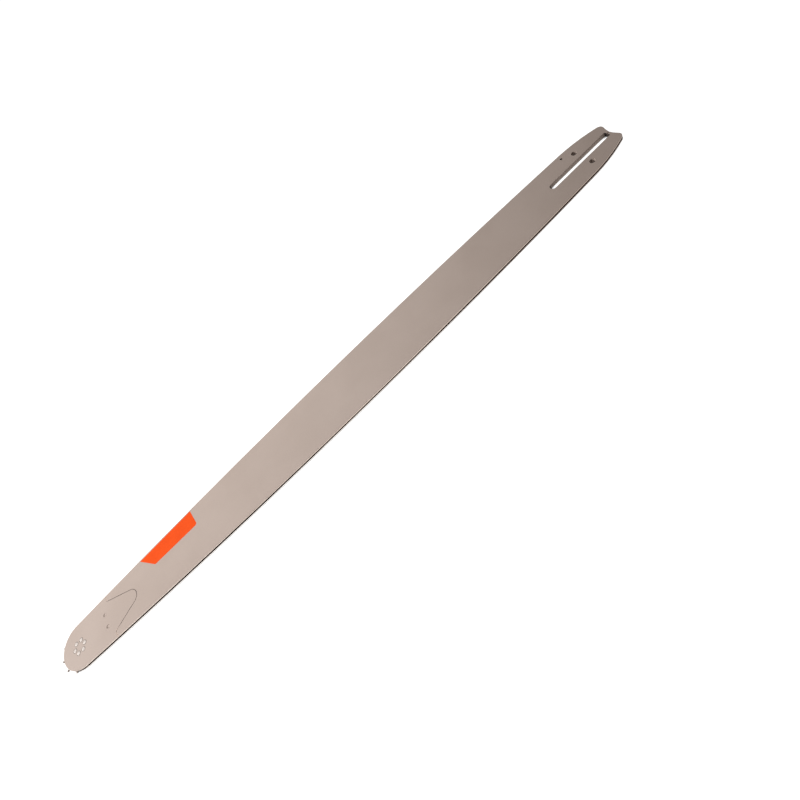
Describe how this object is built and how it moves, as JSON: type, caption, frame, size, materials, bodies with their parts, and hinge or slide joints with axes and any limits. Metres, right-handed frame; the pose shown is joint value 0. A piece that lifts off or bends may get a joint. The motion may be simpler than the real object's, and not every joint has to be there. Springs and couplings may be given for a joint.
{
  "type": "chainsaw guide bar",
  "caption": "Long belly-sided steel guide bar with a chain groove round its edge, a slotted tail mount and a riveted nose that holds a roller-borne star sprocket.",
  "frame": {"origin": "midway between the two chain tension holes, on the slot's centre line, in the plane of the rear face", "axes": "+X along the bar from the mount to the nose, +Z out of the front face"},
  "size_m": [0.9008, 0.0784, 0.0055],
  "materials": {
    "painted_bar": "satin warm grey paint",
    "bright_rivets": "bare, rolled over",
    "hard_steel": "hardened, oiled",
    "bearing_steel": "ground"
  },
  "bodies": {
    "bar": {"bar_body": "painted_bar", "nose_front_cheek": "painted_bar", "nose_rear_cheek": "painted_bar", "tongue_rivets": "painted_bar", "hub_rivets": "bright_rivets", "bearing_inner_race": "bearing_steel"},
    "sprocket": {"nose_sprocket": "hard_steel"},
    "roller_ring": {"bearing_roller_01": "bearing_steel", "bearing_roller_02": "bearing_steel", "bearing_roller_03": "bearing_steel", "bearing_roller_04": "bearing_steel", "bearing_roller_05": "bearing_steel", "bearing_roller_06": "bearing_steel", "bearing_roller_07": "bearing_steel", "bearing_roller_08": "bearing_steel", "bearing_roller_09": "bearing_steel", "bearing_roller_10": "bearing_steel", "bearing_roller_11": "bearing_steel", "bearing_roller_12": "bearing_steel", "bearing_roller_13": "bearing_steel", "bearing_roller_14": "bearing_steel", "bearing_roller_15": "bearing_steel", "bearing_roller_16": "bearing_steel", "bearing_roller_17": "bearing_steel", "bearing_roller_18": "bearing_steel", "bearing_roller_19": "bearing_steel", "bearing_roller_20": "bearing_steel"}
  },
  "joints": [
    {"name": "sprocket_spin", "type": "hinge", "parent": "bar", "child": "sprocket", "pos_m": [0.825, 0, 0.0025], "axis": [0, 0, 1], "continuous": true},
    {"name": "roller_orbit", "type": "hinge", "parent": "bar", "child": "roller_ring", "pos_m": [0.825, 0, 0.0025], "axis": [0, 0, 1], "continuous": true}
  ],
  "couplings": [
    {"joint": "roller_orbit", "follows": "sprocket_spin", "ratio": 0.57245}
  ]
}
